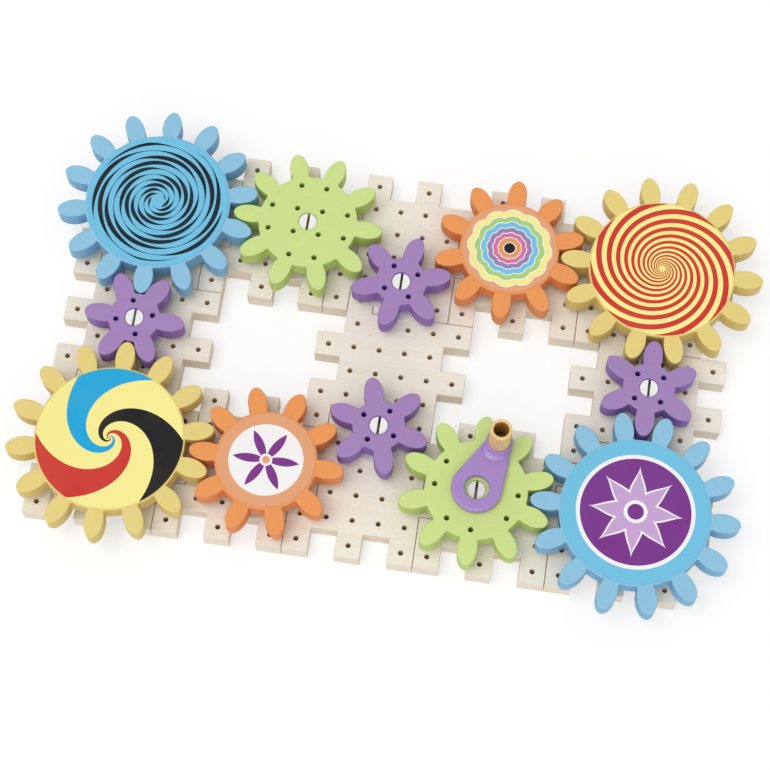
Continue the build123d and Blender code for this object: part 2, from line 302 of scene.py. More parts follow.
# --- Node helpers ---
class Bench:
    """Adds and links the nodes of one material or node group."""

    def __init__(self, tree: NodeTree) -> None:
        """Keeps the node tree that the nodes go into."""
        self.tree = tree

    def feed(self, socket: Socket, value: object) -> None:
        """Links a socket to an input, or sets the input's value.

        Args:
            socket: The input.
            value: A socket, or a plain value.
        """
        if isinstance(value, Socket):
            self.tree.links.new(value, socket)
        else:
            socket.default_value = value

    def node(self, kind: str, inputs: dict | None = None, **settings: object) -> Node:
        """Adds one shader node.

        Args:
            kind: The node's type, without the words ShaderNode before it.
            inputs: Values or sockets for its inputs, by name or number.
            **settings: Properties of the node.

        Returns:
            The new node.
        """
        made = self.tree.nodes.new("ShaderNode" + kind)
        for title, value in settings.items():
            setattr(made, title, value)
        for key, value in (inputs or {}).items():
            self.feed(made.inputs[key], value)
        return made

    def maths(self, operation: str, *values: Value) -> Socket:
        """Result of a Math node on one, two or three values."""
        return self.node("Math", dict(enumerate(values)), operation=operation).outputs[0]

    def plus(self, first: Value, second: Value) -> Socket:
        """Sum of two values."""
        return self.maths("ADD", first, second)

    def minus(self, first: Value, second: Value) -> Socket:
        """The first value less the second."""
        return self.maths("SUBTRACT", first, second)

    def times(self, first: Value, second: Value) -> Socket:
        """Product of two values."""
        return self.maths("MULTIPLY", first, second)

    def under(self, value: Value, limit: Value) -> Socket:
        """A mask that is 1 where a value is less than its limit."""
        return self.maths("LESS_THAN", value, limit)

    def over(self, value: Value, limit: Value) -> Socket:
        """A mask that is 1 where a value is more than its limit."""
        return self.maths("GREATER_THAN", value, limit)

    def vectors(self, operation: str, first: object, second: object) -> Socket:
        """Result of a Vector Math node on two vectors."""
        return self.node("VectorMath", {0: first, 1: second}, operation=operation).outputs[0]

    def sides(self, vector: Socket) -> tuple[Socket, Socket, Socket]:
        """The three sides of a vector."""
        return tuple(self.node("SeparateXYZ", {0: vector}).outputs)

    def length(self, across: Socket, along: Socket) -> Socket:
        """Length of a flat step, from its two sides."""
        return self.maths("SQRT", self.plus(self.times(across, across), self.times(along, along)))

    def ramp(self, value: Socket, low: float, high: float, to_low: float = 0.0,
             to_high: float = 1.0) -> Socket:
        """A value moved smoothly from one range to another.

        Args:
            value: The value.
            low: Lower end of its range.
            high: Upper end of its range.
            to_low: What the lower end becomes.
            to_high: What the upper end becomes.

        Returns:
            The moved value.
        """
        inputs = {"Value": value, "From Min": low, "From Max": high,
                  "To Min": to_low, "To Max": to_high}
        made = self.node("MapRange", inputs, interpolation_type="SMOOTHSTEP")
        return made.outputs["Result"]

    def between(self, mask: Socket, low: float, high: float) -> Socket:
        """A value from low, where a mask is 0, to high, where it is 1."""
        return self.ramp(mask, 0.0, 1.0, low, high)

    def mix(self, mask: Value, below: object, above: object) -> Socket:
        """Colour above laid over colour below where the mask is 1."""
        inputs = {"Factor": mask, MIX_BELOW: below, MIX_ABOVE: above}
        return self.node("Mix", inputs, data_type="RGBA").outputs[MIX_RESULT]

    def layered(self, base: object, *layers: tuple[Socket, float, object]) -> Socket:
        """Lays colours over one another.

        Args:
            base: The lowest colour.
            *layers: The mask of each layer, the share of it that shows, and its colour.

        Returns:
            The colour that shows.
        """
        for mask, share, colour in layers:
            base = self.mix(mask if share == 1.0 else self.times(mask, share), base, colour)
        return base

    def noise(self, vector: Socket, scale: Value, detail: float = 3.0,
              roughness: float = 0.55) -> Socket:
        """Plain noise between 0 and 1."""
        inputs = {"Vector": vector, "Scale": scale, "Detail": detail, "Roughness": roughness}
        return self.node("TexNoise", inputs).outputs["Fac"]

    def place(self) -> Socket:
        """The surface's place in the object's own frame, in metres."""
        return self.node("TexCoord").outputs["Object"]

    def upward(self) -> Socket:
        """How far the surface faces up, from -1 to 1."""
        return self.sides(self.node("TexCoord").outputs["Normal"])[2]

    def mapped(self, vector: Socket, centre: Vector = ORIGIN, turn: float = UNTURNED,
               size: tuple[float, float, float] = FULL_SIZE) -> Socket:
        """A place seen from a centre, turned about the upright axis and measured in sizes."""
        inputs = {"Vector": vector, "Location": centre, "Rotation": (0, 0, turn), "Scale": size}
        return self.node("Mapping", inputs, vector_type="TEXTURE").outputs[0]

    def effect(self, shared: NodeTree, vector: Socket, **values: float) -> bpy.types.NodeOutputs:
        """Places a shared node group with its own values, and gives its outputs."""
        return self.node("Group", {"Vector": vector, **values}, node_tree=shared).outputs


class SharedGroup(Bench):
    """A node group that reads a place and some numbers, and puts out numbers."""

    def __init__(self, name: str, numbers: dict[str, float], results: list[str]) -> None:
        """Starts the group with its named sockets.

        Args:
            name: Name of the group.
            numbers: First value of each number that it reads, by name.
            results: Names of the numbers that it puts out.
        """
        super().__init__(bpy.data.node_groups.new(name, "ShaderNodeTree"))
        face = self.tree.interface
        face.new_socket("Vector", in_out="INPUT", socket_type="NodeSocketVector")
        for title, value in numbers.items():
            socket = face.new_socket(title, in_out="INPUT", socket_type="NodeSocketFloat")
            socket.default_value = value
        for title in results:
            face.new_socket(title, in_out="OUTPUT", socket_type="NodeSocketFloat")
        self.given = self.tree.nodes.new("NodeGroupInput").outputs
        self.results = self.tree.nodes.new("NodeGroupOutput").inputs
        self.vector = self.given["Vector"]

    def give(self, **results: Socket) -> NodeTree:
        """Feeds the group's results by name.

        Args:
            **results: What each result is.

        Returns:
            The finished group.
        """
        for title, value in results.items():
            self.feed(self.results[title], value)
        return self.tree


@dataclass(frozen=True)
class Effects:
    """The node groups that several finishes share, each built once."""

    fibre_size: tuple[float, float, float] = (0.05, 0.0016, 0.004)
    band_size: tuple[float, float, float] = (0.12, 0.007, 0.02)
    pore_size: tuple[float, float, float] = (0.0032, 0.0004, 0.0006)
    drift: tuple[float, float, float] = (0.004, 0.004, 0.004)

    def grain(self) -> NodeTree:
        """Wood grain along X: long fibres over slow growth bands, as streaks and short pores.

        Returns:
            The group.
        """
        group = SharedGroup("wood_grain", {"Fineness": 1.0, "Waver": 0.5}, ["Streak", "Pore"])
        clouds = group.node("TexNoise", {"Vector": group.vector, "Scale": 9.0, "Detail": 2.0})
        push = group.vectors("MULTIPLY", clouds.outputs["Color"], group.given["Waver"])
        bent = group.vectors("ADD", group.vector, group.vectors("MULTIPLY", push, self.drift))
        inputs = {0: bent, "Scale": group.given["Fineness"]}
        fine = group.node("VectorMath", inputs, operation="SCALE").outputs[0]
        fibres = group.noise(group.mapped(fine, size=self.fibre_size), 1.0, 4.0, 0.6)
        bands = group.noise(group.mapped(fine, size=self.band_size), 1.0, 2.0, 0.5)
        pores = group.noise(group.mapped(fine, size=self.pore_size), 1.0, 1.0)
        both = group.plus(group.times(fibres, 0.6), group.times(bands, 0.4))
        return group.give(Streak=group.ramp(both, 0.34, 0.66), Pore=group.ramp(pores, 0.6, 0.72))

    def edges(self) -> NodeTree:
        """Masks of a flat piece's rounded edges and of its walls, from how its surface faces.

        Returns:
            The group.
        """
        group = SharedGroup("edge_wear", {"Softness": 0.2}, ["Edge", "Wall"])
        flat = group.maths("ABSOLUTE", group.upward())
        rounded = group.times(group.ramp(flat, 0.86, 0.99, 1.0, 0.0), group.ramp(flat, 0.05, 0.45))
        patches = group.plus(group.noise(group.vector, 160.0), group.given["Softness"])
        # the Edge mask places rubbed wear; the Wall mask sets where the finishes paint shade on the
        # walls
        return group.give(Edge=group.times(rounded, group.ramp(patches, 0.45, 0.8)),
                          Wall=group.ramp(flat, 0.15, 0.75, 1.0, 0.0))

    def uneven(self) -> NodeTree:
        """Slow and fine unevenness of a coat, as a mask about one half and a small height.

        Returns:
            The group.
        """
        group = SharedGroup("uneven_coat", {"Scale": 30.0}, ["Mask", "Height"])
        scale = group.given["Scale"]
        peel = group.noise(group.vector, group.times(scale, 40.0), 2.0)
        return group.give(Mask=group.ramp(group.noise(group.vector, scale), 0.3, 0.7), Height=peel)

    def dust(self) -> NodeTree:
        """Fine dust that lies in loose patches on what faces up.

        Returns:
            The group.
        """
        group = SharedGroup("fine_dust", {"Amount": 0.1}, ["Mask"])
        specks = group.ramp(group.noise(group.vector, 2200.0, 2.0), 0.6, 0.8)
        patches = group.ramp(group.noise(group.vector, 45.0, 2.0), 0.35, 0.75)
        lying = group.times(group.times(specks, patches), group.ramp(group.upward(), 0.5, 1.0))
        return group.give(Mask=group.times(lying, group.given["Amount"]))


EFFECTS = Effects()
GRAIN, EDGES, UNEVEN, DUST = EFFECTS.grain(), EFFECTS.edges(), EFFECTS.uneven(), EFFECTS.dust()
DUST_COLOUR = tone(246, 245, 242)


class Surface(Bench):
    """One material: its nodes and its Principled shader."""

    def __init__(self, name: str) -> None:
        """Starts the material.

        Args:
            name: Name of the material.
        """
        self.material = bpy.data.materials.new(name)
        self.material.use_nodes = True
        super().__init__(self.material.node_tree)
        self.shader = next(node for node in self.tree.nodes if node.type == "BSDF_PRINCIPLED")

    def relief(self, height: Socket, depth: float, strength: float) -> Socket:
        """The surface's normal under a height from 0 to 1 that is so many metres deep."""
        inputs = {"Height": height, "Distance": depth, "Strength": strength}
        return self.node("Bump", inputs).outputs[0]

    def finish(self, inputs: dict[str, object]) -> Material:
        """Feeds the shader.

        Args:
            inputs: Values or sockets for the shader's inputs, by name.

        Returns:
            The finished material.
        """
        for title, value in inputs.items():
            self.feed(self.shader.inputs[title], value)
        return self.material


# --- Finishes ---
@dataclass(frozen=True)
class PaintedWood:
    """Thin satin paint on close-grained wood, with painted shade on the walls in a darker, more
    saturated tone, and rubbed along the edges.
    """

    colour: Colour
    # the paint's darker, more saturated tone that the walls take as painted shade
    wall: Colour
    bare: Colour = tone(236, 220, 192)
    dust_colour: Colour = tone(245, 243, 238)
    streaks: float = 0.08
    clouds: float = 0.07
    walls: float = 0.85
    rubbed: float = 0.32
    rubbed_through: float = 0.45
    roughness: tuple[float, float] = (0.46, 0.56)
    dust_roughness: float = 0.2
    relief: tuple[float, float] = (0.03 * MM, 0.5)

    def material(self, name: str, centre: Vector, turn: float) -> Material:
        """The material of one painted piece.

        Args:
            name: Name of the material.
            centre: Middle of the piece.
            turn: How the piece's grain is turned.

        Returns:
            The material.
        """
        surface = Surface(name)
        own = surface.mapped(surface.place(), centre, turn)
        grain = surface.effect(GRAIN, own, Fineness=1.0, Waver=1.0)
        edges = surface.effect(EDGES, own, Softness=0.1)
        coat = surface.effect(UNEVEN, own, Scale=26.0)
        dust = surface.effect(DUST, own, Amount=0.25)
        pale = tuple((1 - self.rubbed_through) * value + self.rubbed_through * wood
                     for value, wood in zip(self.colour, self.bare))
        paint = surface.layered(
            self.colour,
            (grain["Streak"], self.streaks, deeper(self.colour, 0.35)),
            (coat["Mask"], self.clouds, deeper(self.colour, 0.25)),
            # painted shade: the walls take the darker wall colour by how far they face sideways
            (edges["Wall"], self.walls, self.wall),
            (edges["Edge"], self.rubbed, pale),
            (dust["Mask"], 1.0, self.dust_colour))
        rough = surface.plus(surface.between(coat["Mask"], *self.roughness),
                             surface.times(dust["Mask"], self.dust_roughness))
        height = surface.plus(surface.times(grain["Streak"], 0.5), coat["Height"])
        height = surface.minus(height, surface.times(grain["Pore"], 0.6))
        return surface.finish({"Base Color": paint, "Roughness": rough, "Specular IOR Level": 0.35,
                               "Normal": surface.relief(height, *self.relief)})


@dataclass(frozen=True)
class DrilledWood:
    """The wall of a drilled hole: end grain in a given colour, with turned tool marks; the darker
    colours given for the gears and the knob hold painted shade.
    """

    colour: Colour
    mark_size: tuple[float, float, float] = (0.01, 0.01, 0.0006)
    mark_share: float = 0.25
    roughness: tuple[float, float] = (0.75, 0.9)
    relief: tuple[float, float] = (0.08 * MM, 0.6)

    def material(self, name: str) -> Material:
        """The material of the holes' walls.

        Args:
            name: Name of the material.

        Returns:
            The material.
        """
        surface = Surface(name)
        place = surface.place()
        coat = surface.effect(UNEVEN, place, Scale=350.0)
        marks = surface.noise(surface.mapped(place, size=self.mark_size), 1.0, 2.0)
        hole_colour = surface.layered(
            self.colour,
            (coat["Mask"], 1.0, deeper(self.colour, 0.2)),
            (surface.ramp(marks, 0.4, 0.6), self.mark_share, deeper(self.colour, 0.5)))
        return surface.finish({
            "Base Color": hole_colour, "Roughness": surface.between(marks, *self.roughness),
            "Normal": surface.relief(marks, *self.relief)})


@dataclass(frozen=True)
class PaleWood:
    """Smooth whitewashed wood with quiet grain, with painted shade on its walls in a darker, warmer
    tone.
    """

    colour: Colour = tone(239, 233, 221)
    growth: Colour = tone(229, 218, 201)
    # the darker, warmer tone that the walls take as painted shade
    wall: Colour = tone(232, 219, 200)
    pore: Colour = tone(178, 154, 124)
    rubbed: Colour = tone(204, 188, 164)
    dust_colour: Colour = tone(248, 247, 244)
    plank_step: float = 3.7
    roughness: tuple[float, float] = (0.52, 0.64)
    relief: tuple[float, float] = (0.05 * MM, 0.6)

    def material(self, name: str, centre: Vector) -> Material:
        """The material of one board.

        Args:
            name: Name of the material.
            centre: Middle of the board, which sets where in the plank it is cut from.

        Returns:
            The material.
        """
        surface = Surface(name)
        own = surface.mapped(surface.place(), centre * self.plank_step)
        grain = surface.effect(GRAIN, own, Fineness=1.0, Waver=1.6)
        edges = surface.effect(EDGES, own, Softness=0.25)
        wood = surface.layered(
            self.colour,
            (grain["Streak"], 0.45, self.growth),
            (surface.effect(UNEVEN, own, Scale=14.0)["Mask"], 0.25, self.growth),
            (grain["Pore"], 0.22, self.pore),
            # painted shade: the walls take the darker wall tone
            (edges["Wall"], 0.7, self.wall),
            (edges["Edge"], 0.35, self.rubbed),
            (surface.effect(DUST, own, Amount=0.2)["Mask"], 1.0, self.dust_colour))
        height = surface.minus(grain["Streak"], grain["Pore"])
        return surface.finish({
            "Base Color": wood, "Specular IOR Level": 0.3,
            "Roughness": surface.between(grain["Streak"], *self.roughness),
            "Normal": surface.relief(height, *self.relief)})


@dataclass(frozen=True)
class MouldedPlastic:
    """Satin moulded plastic with faint flow marks and fine moulding grain, and painted shade on its
    walls.
    """

    colour: Colour
    roughness: float
    coat: float = 0.0
    wall_shade_depth: float = 0.08
    pale_gain: float = 1.15
    pale_lift: float = 0.03
    smoother: float = 0.04
    rougher: float = 0.05
    relief: tuple[float, float] = (0.02 * MM, 0.5)

    def material(self, name: str) -> Material:
        """The material of a moulded piece.

        Args:
            name: Name of the material.

        Returns:
            The material.
        """
        surface = Surface(name)
        place = surface.place()
        coat = surface.effect(UNEVEN, place, Scale=60.0)
        edges = surface.effect(EDGES, place, Softness=0.15)
        pale = tuple(min(1.0, value * self.pale_gain + self.pale_lift) for value in self.colour)
        body = surface.layered(
            self.colour,
            (coat["Mask"], 0.12, deeper(self.colour, 0.15)),
            # painted shade: the walls take a darker tone of the plastic
            (edges["Wall"], 0.6, deeper(self.colour, self.wall_shade_depth)),
            (edges["Edge"], 0.3, pale),
            (surface.effect(DUST, place, Amount=0.2)["Mask"], 1.0, DUST_COLOUR))
        rough = surface.between(coat["Mask"], self.roughness - self.smoother,
                                self.roughness + self.rougher)
        return surface.finish({
            "Base Color": body, "Roughness": rough, "Specular IOR Level": 0.45,
            "Coat Weight": self.coat, "Coat Roughness": 0.25,
            "Normal": surface.relief(coat["Height"], *self.relief)})


@dataclass(frozen=True)
class VarnishedWood:
    """Bare turned wood under clear varnish, grain upright along the knob."""

    colour: Colour = tone(242, 208, 142)
    growth: Colour = tone(224, 178, 102)
    pore: Colour = tone(178, 124, 62)
    roughness: tuple[float, float] = (0.34, 0.46)
    relief: tuple[float, float] = (0.05 * MM, 0.6)

    def material(self, name: str, centre: Vector) -> Material:
        """The material of the turned knob.

        Args:
            name: Name of the material.
            centre: A point on the knob's axis.

        Returns:
            The material.
        """
        surface = Surface(name)
        place = surface.mapped(surface.place(), centre)
        inputs = {"Vector": place, "Rotation": (0, pi / 2, 0)}
        upright = surface.node("Mapping", inputs).outputs[0]
        grain = surface.effect(GRAIN, upright, Fineness=2.2, Waver=0.6)
        wood = surface.layered(
            self.colour,
            (grain["Streak"], 0.75, self.growth),
            (grain["Pore"], 0.4, self.pore),
            (surface.effect(UNEVEN, place, Scale=120.0)["Mask"], 0.15, self.growth))
        height = surface.minus(grain["Streak"], grain["Pore"])
        return surface.finish({
            "Base Color": wood, "Coat Weight": 0.35, "Coat Roughness": 0.3,
            "Roughness": surface.between(grain["Streak"], *self.roughness),
            "Normal": surface.relief(height, *self.relief)})


@dataclass(frozen=True)
class ScrewSteel:
    """Dark oiled screw steel with fine turning marks."""

    colour: Colour = tone(92, 82, 72)
    mark_step: float = 0.12 * MM
    roughness: tuple[float, float] = (0.28, 0.42)
    relief: tuple[float, float] = (0.01 * MM, 0.5)

    def material(self, name: str, centre: Vector) -> Material:
        """The material of the knob's screw.

        Args:
            name: Name of the material.
            centre: A point on the screw's axis.

        Returns:
            The material.
        """
        surface = Surface(name)
        place = surface.mapped(surface.place(), centre)
        reach = surface.length(*surface.sides(place)[:2])
        marks = surface.maths("SINE", surface.times(reach, tau / self.mark_step))
        coat = surface.effect(UNEVEN, place, Scale=400.0)["Mask"]
        return surface.finish({
            "Base Color": surface.layered(self.colour, (coat, 0.4, deeper(self.colour, 0.4))),
            "Metallic": 1.0, "Roughness": surface.between(coat, *self.roughness),
            "Normal": surface.relief(marks, *self.relief)})


class Motif(Enum):
    """The generic print on a disc."""

    SPIRAL = "many-armed spiral"
    PINWHEEL = "three-bladed pinwheel"
    FLOWER_RINGS = "scalloped rings"
    WHIRL = "tapering whirl"
    ROSETTE = "six-petal rosette"
    STAR = "eight-rayed star"


WHITE = tone(240, 238, 238)
BLACK = tone(20, 17, 22)
VIOLET = tone(120, 48, 135)
LILAC = tone(196, 160, 206)
RED = tone(200, 52, 48)
CYAN = tone(0, 162, 214)
PRINT_BLUE = tone(112, 189, 222)
PRINT_YELLOW = tone(243, 232, 146)
PRINT_PEACH = tone(224, 160, 118)


class InkDrawing(Surface):
    """The print of one disc: flat inks on a plain ground, all lengths in the disc's radius."""

    def __init__(self, name: str, ground: Colour, centre: Vector, turn: float,
                 radius: float) -> None:
        """Finds each point's reach from the disc's middle and its angle.

        Args:
            name: Name of the material.
            ground: Colour of the disc itself.
            centre: Middle of the disc.
            turn: How the motif is turned.
            radius: The disc's radius.
        """
        super().__init__(name)
        self.ground = ground
        self.inks: object = ground
        unit = self.mapped(self.place(), centre, turn, (radius, radius, radius))
        self.across, self.along = self.sides(unit)[:2]
        self.reach = self.length(self.across, self.along)
        self.angle = self.maths("ARCTAN2", self.along, self.across)

    def ink(self, mask: Socket, colour: Colour) -> None:
        """Prints one ink where its mask is 1."""
        self.inks = self.mix(mask, self.inks, colour)

    def rounds(self, *sizes: tuple[Value, Colour]) -> None:
        """Prints full rounds about the middle, each over the last, from their radius and ink."""
        for radius, colour in sizes:
            self.ink(self.under(self.reach, radius), colour)

    def wound(self, arms: int, power: float, turns: float) -> Socket:
        """Where each point lies between one arm of a spiral and the next.

        Args:
            arms: Count of arms.
            power: How the winding grows with the reach.
            turns: How many arms a straight line from the middle to the rim crosses.

        Returns:
            The place between two arms, from 0 to 1.
        """
        crossed = self.times(self.maths("POWER", self.reach, power), turns)
        along = self.plus(self.times(self.angle, arms / tau), crossed)
        return self.maths("FRACT", self.plus(along, WHOLE_TURNS))

    def spiral(self) -> None:
        """Eight red arms that wind out from the middle and widen."""
        stripe = self.under(self.wound(8, 0.3, 20.0), 0.52)
        self.ink(self.times(stripe, self.over(self.reach, 0.045)), RED)

    def pinwheel(self) -> None:
        """Three blades in three inks that sweep out from the middle and widen to the rim."""
        grown = self.maths("LOGARITHM", self.maths("MAXIMUM", self.reach, 0.02), NATURAL_BASE)
        swept = self.plus(self.angle, self.times(grown, 1.6))
        half_width = self.plus(self.times(self.reach, 0.12), 0.42)
        for blade, ink in enumerate((CYAN, RED, BLACK)):
            off = self.maths("WRAP", self.minus(swept, tau * blade / 3), pi, -pi)
            self.ink(self.under(self.maths("ABSOLUTE", off), half_width), ink)

    def flower_rings(self) -> None:
        """Scalloped rings about the middle, each in its own ink with a white line round it."""
        lobes = self.maths("ABSOLUTE", self.maths("COSINE", self.times(self.angle, 6.0)))
        waved = self.maths("DIVIDE", self.reach, self.plus(self.times(lobes, 0.07), 0.94))
        rings = ((0.87, tone(241, 231, 144)), (0.73, tone(165, 203, 125)), (0.60, PRINT_BLUE),
                 (0.47, tone(150, 125, 175)), (0.35, tone(208, 110, 155)),
                 (0.24, tone(224, 150, 96)), (0.12, BLACK))
        for edge, ink in rings:
            self.ink(self.under(waved, edge + 0.02), WHITE)
            self.ink(self.under(waved, edge), ink)

    def whirl(self) -> None:
        """Black arms that wind round the middle and swell and taper as they go."""
        waves = self.plus(self.times(self.angle, 2.0), self.times(self.reach, 17.0))
        half_width = self.plus(self.times(self.maths("SINE", waves), 0.16), 0.2)
        off = self.maths("ABSOLUTE", self.minus(self.wound(5, 0.8, -12.0), 0.5))
        band = self.times(self.over(self.reach, 0.1), self.under(self.reach, 0.93))
        self.ink(self.times(self.under(off, half_width), band), BLACK)

    def rosette(self) -> None:
        """The compass-drawn rosette: six circles round a seventh, their overlaps in violet."""
        size = 0.68
        count: Value = 0.0
        for side in range(6):
            gap = self.length(self.minus(self.across, size * cos(pi * side / 3)),
                              self.minus(self.along, size * sin(pi * side / 3)))
            count = self.plus(count, self.under(gap, size))
        petals = self.times(self.over(count, 2.5), self.under(self.reach, size))
        self.rounds((size + 0.08, WHITE))
        self.ink(petals, VIOLET)
        self.rounds((0.13, WHITE), (0.08, self.ground))

    def star(self) -> None:
        """A violet round with a white line and a lilac star of eight rays in its middle."""
        fold = self.maths("PINGPONG", self.plus(self.angle, tau), pi / 8)
        edge = self.minus(0.6, self.times(self.maths("POWER", fold, 0.55), 0.56))
        self.rounds((0.80, WHITE), (0.745, VIOLET), (self.plus(edge, 0.045), WHITE),
                    (edge, LILAC), (0.16, WHITE), (0.11, VIOLET))


@dataclass(frozen=True)
class PrintedDisc:
    """A thin printed disc: one plain ground with a motif of flat inks."""

    motif: Motif
    ground: Colour
    turn: float = UNTURNED
    roughness: tuple[float, float] = (0.42, 0.52)
    relief: tuple[float, float] = (0.015 * MM, 0.5)

    def material(self, name: str, centre: Vector, radius: float) -> Material:
        """The material of one printed disc.

        Args:
            name: Name of the material.
            centre: Middle of the disc.
            radius: Its radius.

        Returns:
            The material.
        """
        drawing = InkDrawing(name, self.ground, centre, self.turn, radius)
        draw = {Motif.SPIRAL: drawing.spiral, Motif.PINWHEEL: drawing.pinwheel,
                Motif.FLOWER_RINGS: drawing.flower_rings, Motif.WHIRL: drawing.whirl,
                Motif.ROSETTE: drawing.rosette, Motif.STAR: drawing.star}[self.motif]
        draw()
        place = drawing.place()
        coat = drawing.effect(UNEVEN, place, Scale=24.0)
        dust = drawing.effect(DUST, place, Amount=0.06)
        inks = drawing.layered(drawing.inks, (coat["Mask"], 0.04, deeper(self.ground, 0.3)),
                               (dust["Mask"], 1.0, DUST_COLOUR))
        return drawing.finish({
            "Base Color": inks, "Specular IOR Level": 0.15,
            "Roughness": drawing.between(coat["Mask"], *self.roughness),
            "Normal": drawing.relief(coat["Height"], *self.relief)})


# each paint's second colour is the darker tone that its walls take as painted shade
PAINTS = {"green": PaintedWood(tone(199, 219, 136), tone(178, 202, 104)),
          "blue": PaintedWood(tone(138, 190, 218), tone(116, 174, 212)),
          "purple": PaintedWood(tone(157, 126, 180), tone(136, 98, 180)),
          "orange": PaintedWood(tone(231, 148, 82), tone(226, 132, 66)),
          "yellow": PaintedWood(tone(225, 204, 124), tone(216, 190, 106))}


# --- Boards ---
@dataclass
class PegBoards:
    """The thirteen interlocking boards, with a peg hole in every cell."""

    pitch: float = 15 * MM
    seam: float = 0.3 * MM
    half_cells: int = 3
    hole_radius: float = 1.5 * MM
    hole_rim: float = 0.15 * MM
    hole_steps: int = 14
    edge_round: float = 0.45 * MM

    # middles of the tabs in half pitches from the board's middle: behind, in front, right, left
    tabs: tuple[tuple[int, int], ...] = ((-3, 5), (1, 5), (-5, -5), (-1, -5), (3, -5),
                                         (5, 3), (5, -1), (-5, 1), (-5, -3))

    def cells(self) -> list[tuple[int, int]]:
        """Middles of all a board's cells, in half pitches."""
        body = range(-self.half_cells, self.half_cells + 1, 2)
        return [(u, v) for u in body for v in body] + list(self.tabs)

    def outline(self) -> BMesh:
        """The board's outline with its tabs as one flat face about the origin.

        Returns:
            The outline's mesh.
        """
        mesh = bmesh.new()
        side = 2 * self.half_cells
        bmesh.ops.create_grid(mesh, x_segments=side, y_segments=side,
                              size=self.half_cells * self.pitch)
        kept = set(self.cells())
        gone = []
        for face in mesh.faces:
            middle = face.calc_center_median() * 2 / self.pitch
            if (round(middle.x), round(middle.y)) not in kept:
                gone.append(face)
        bmesh.ops.delete(mesh, geom=gone, context="FACES")
        bmesh.ops.dissolve_limit(mesh, angle_limit=FLAT_ANGLE, verts=mesh.verts, edges=mesh.edges)
        strip = bmesh.ops.inset_region(mesh, faces=mesh.faces, thickness=self.seam / 2,
                                       use_boundary=True, use_even_offset=True)
        bmesh.ops.delete(mesh, geom=strip["faces"], context="FACES")
        return mesh

    def build(self, node: str, drilled: Material) -> None:
        """Makes and dresses one board.

        Args:
            node: Node of the frame that it stands for.
            drilled: The material of its holes.
        """
        low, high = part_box(node)
        middle = (low + high) / 2
        mesh = self.outline()
        raise_plate(mesh, low.z, high.z, self.edge_round, corners=True)
        holes = [Hole(Vector((u, v, 0)) * self.pitch / 2, self.hole_radius, self.hole_rim,
                      self.hole_steps, 1) for u, v in self.cells()]
        drill_plate(mesh, low.z, high.z, holes)
        seat(mesh, middle)
        wood = PaleWood().material(node + "_wood", middle)
        finished_piece(mesh, node, "root", [wood, drilled])

    def build_all(self) -> None:
        """Makes every board of the frame."""
        drilled = DrilledWood(tone(234, 218, 190)).material("drilled_board_wood")
        for node in sorted(name for name in frame["nodes"] if name.startswith("peg_board")):
            self.build(node, drilled)


# --- Axle bases ---
@dataclass
class AxleBase:
    """A moulded foot with a flange, a shoulder, a split post and four pegs."""

    name: str
    flange_radius: float = 18 * MM
    flange_thickness: float = 1.6 * MM
    shoulder_radius: float = 8 * MM
    shoulder_top: float = 18.45 * MM
    post_radius: float = 5.3 * MM
    post_round: float = 0.35 * MM
    slot_width: float = 1.4 * MM
    pin_radius: float = 1.4 * MM
    pin_square: float = 15 * MM
    foot_steps: int = 64
    post_steps: int = 56

    def build(self, finish: Material) -> None:
        """Makes the base.

        Args:
            finish: The moulding's material.
        """
        node = "axle_base_" + self.name
        low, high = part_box(node)
        board = top_of("peg_board_middle_3")
        flange_top = board + self.flange_thickness
        foot = [(0, board, 0), (self.flange_radius, board, 0.3 * MM),
                (self.flange_radius, flange_top, 0.7 * MM),
                (self.shoulder_radius, flange_top, 1.0 * MM),
                (self.shoulder_radius, self.shoulder_top, 0.5 * MM), (0, self.shoulder_top, 0)]
        mesh = bmesh.new()
        lathe(mesh, ORIGIN, softened(foot), self.foot_steps)
        for side in (-1, 1):
            join(mesh, self.half_post(side, high.z))
        add_pegs(mesh, self.pin_square, self.pin_radius, low.z, board)
        seat(mesh, axle_place(self.name))
        finished_piece(mesh, node, "root", [finish])

    def half_post(self, side: int, top: float) -> BMesh:
        """One springy half of the split post.

        Args:
            side: -1 for the left half, 1 for the right one.
            top: Level of the post's end.

        Returns:
            The half as a mesh of its own.
        """
        mesh = bmesh.new()
        bmesh.ops.create_circle(mesh, cap_ends=True, segments=self.post_steps,
                                radius=self.post_radius)
        everything = list(mesh.verts) + list(mesh.edges) + list(mesh.faces)
        bmesh.ops.bisect_plane(mesh, geom=everything, plane_co=(side * self.slot_width / 2, 0, 0),
                               plane_no=(side, 0, 0), clear_inner=True)
        raise_plate(mesh, self.shoulder_top, top, self.post_round)
        return mesh


# --- Gears ---
class Size(Enum):
    """A gear's size, by its count of teeth."""

    LARGE = 14
    MEDIUM = 10
    SMALL = 6


TOOTH_HEIGHTS = {Size.LARGE: 16.4 * MM, Size.MEDIUM: 15.2 * MM, Size.SMALL: 14.4 * MM}
# peg holes in one quarter of a gear, in half pitches from its middle
HOLE_CELLS = {Size.MEDIUM: ((1, 1), (3, 1), (1, 3)), Size.SMALL: ((1, 1),)}


